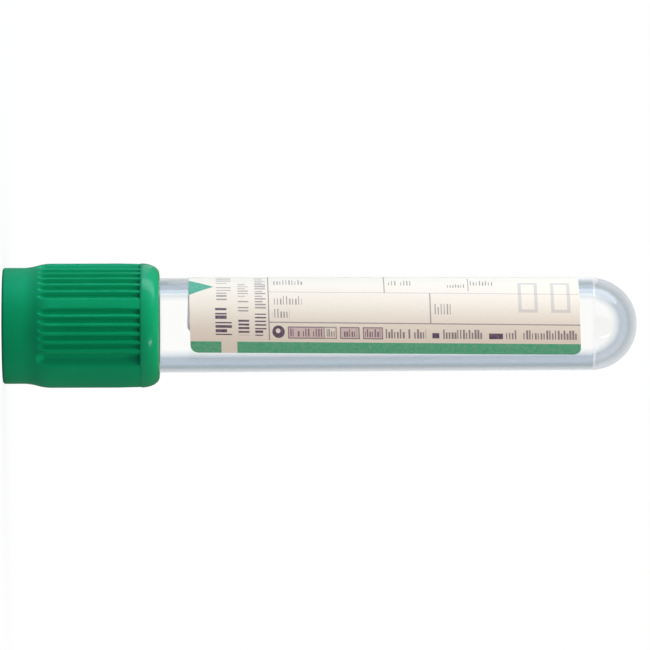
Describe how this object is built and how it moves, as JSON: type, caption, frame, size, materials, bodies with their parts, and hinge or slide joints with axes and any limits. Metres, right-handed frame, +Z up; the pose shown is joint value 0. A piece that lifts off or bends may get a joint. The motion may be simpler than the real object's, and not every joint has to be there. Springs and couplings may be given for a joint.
{
  "type": "blood collection tube",
  "caption": "Clear round-ended plastic tube with a wrap label, shut by a green ribbed pull-off closure that holds a rubber stopper.",
  "frame": {"origin": "centre of the closure's flat end, on the surface the object stands on", "axes": "+Z up the common axis from the closure's flat end to the tube's round end; -Y faces the label's printed front"},
  "size_m": [0.016, 0.016, 0.082],
  "materials": {
    "clear_plastic": "clear, glossy",
    "green_plastic": "moulded, semi-gloss",
    "stopper_rubber": "matt",
    "label_paper": "smooth coated paper, printed"
  },
  "bodies": {
    "closure": {"shield": "green_plastic", "stopper": "stopper_rubber"},
    "tube": {"tube": "clear_plastic", "label": "label_paper"}
  },
  "joints": [
    {"name": "closure_pull", "type": "slide", "parent": "closure", "child": "tube", "axis": [0, 0, 1], "range_m": [0, 0.02]}
  ]
}
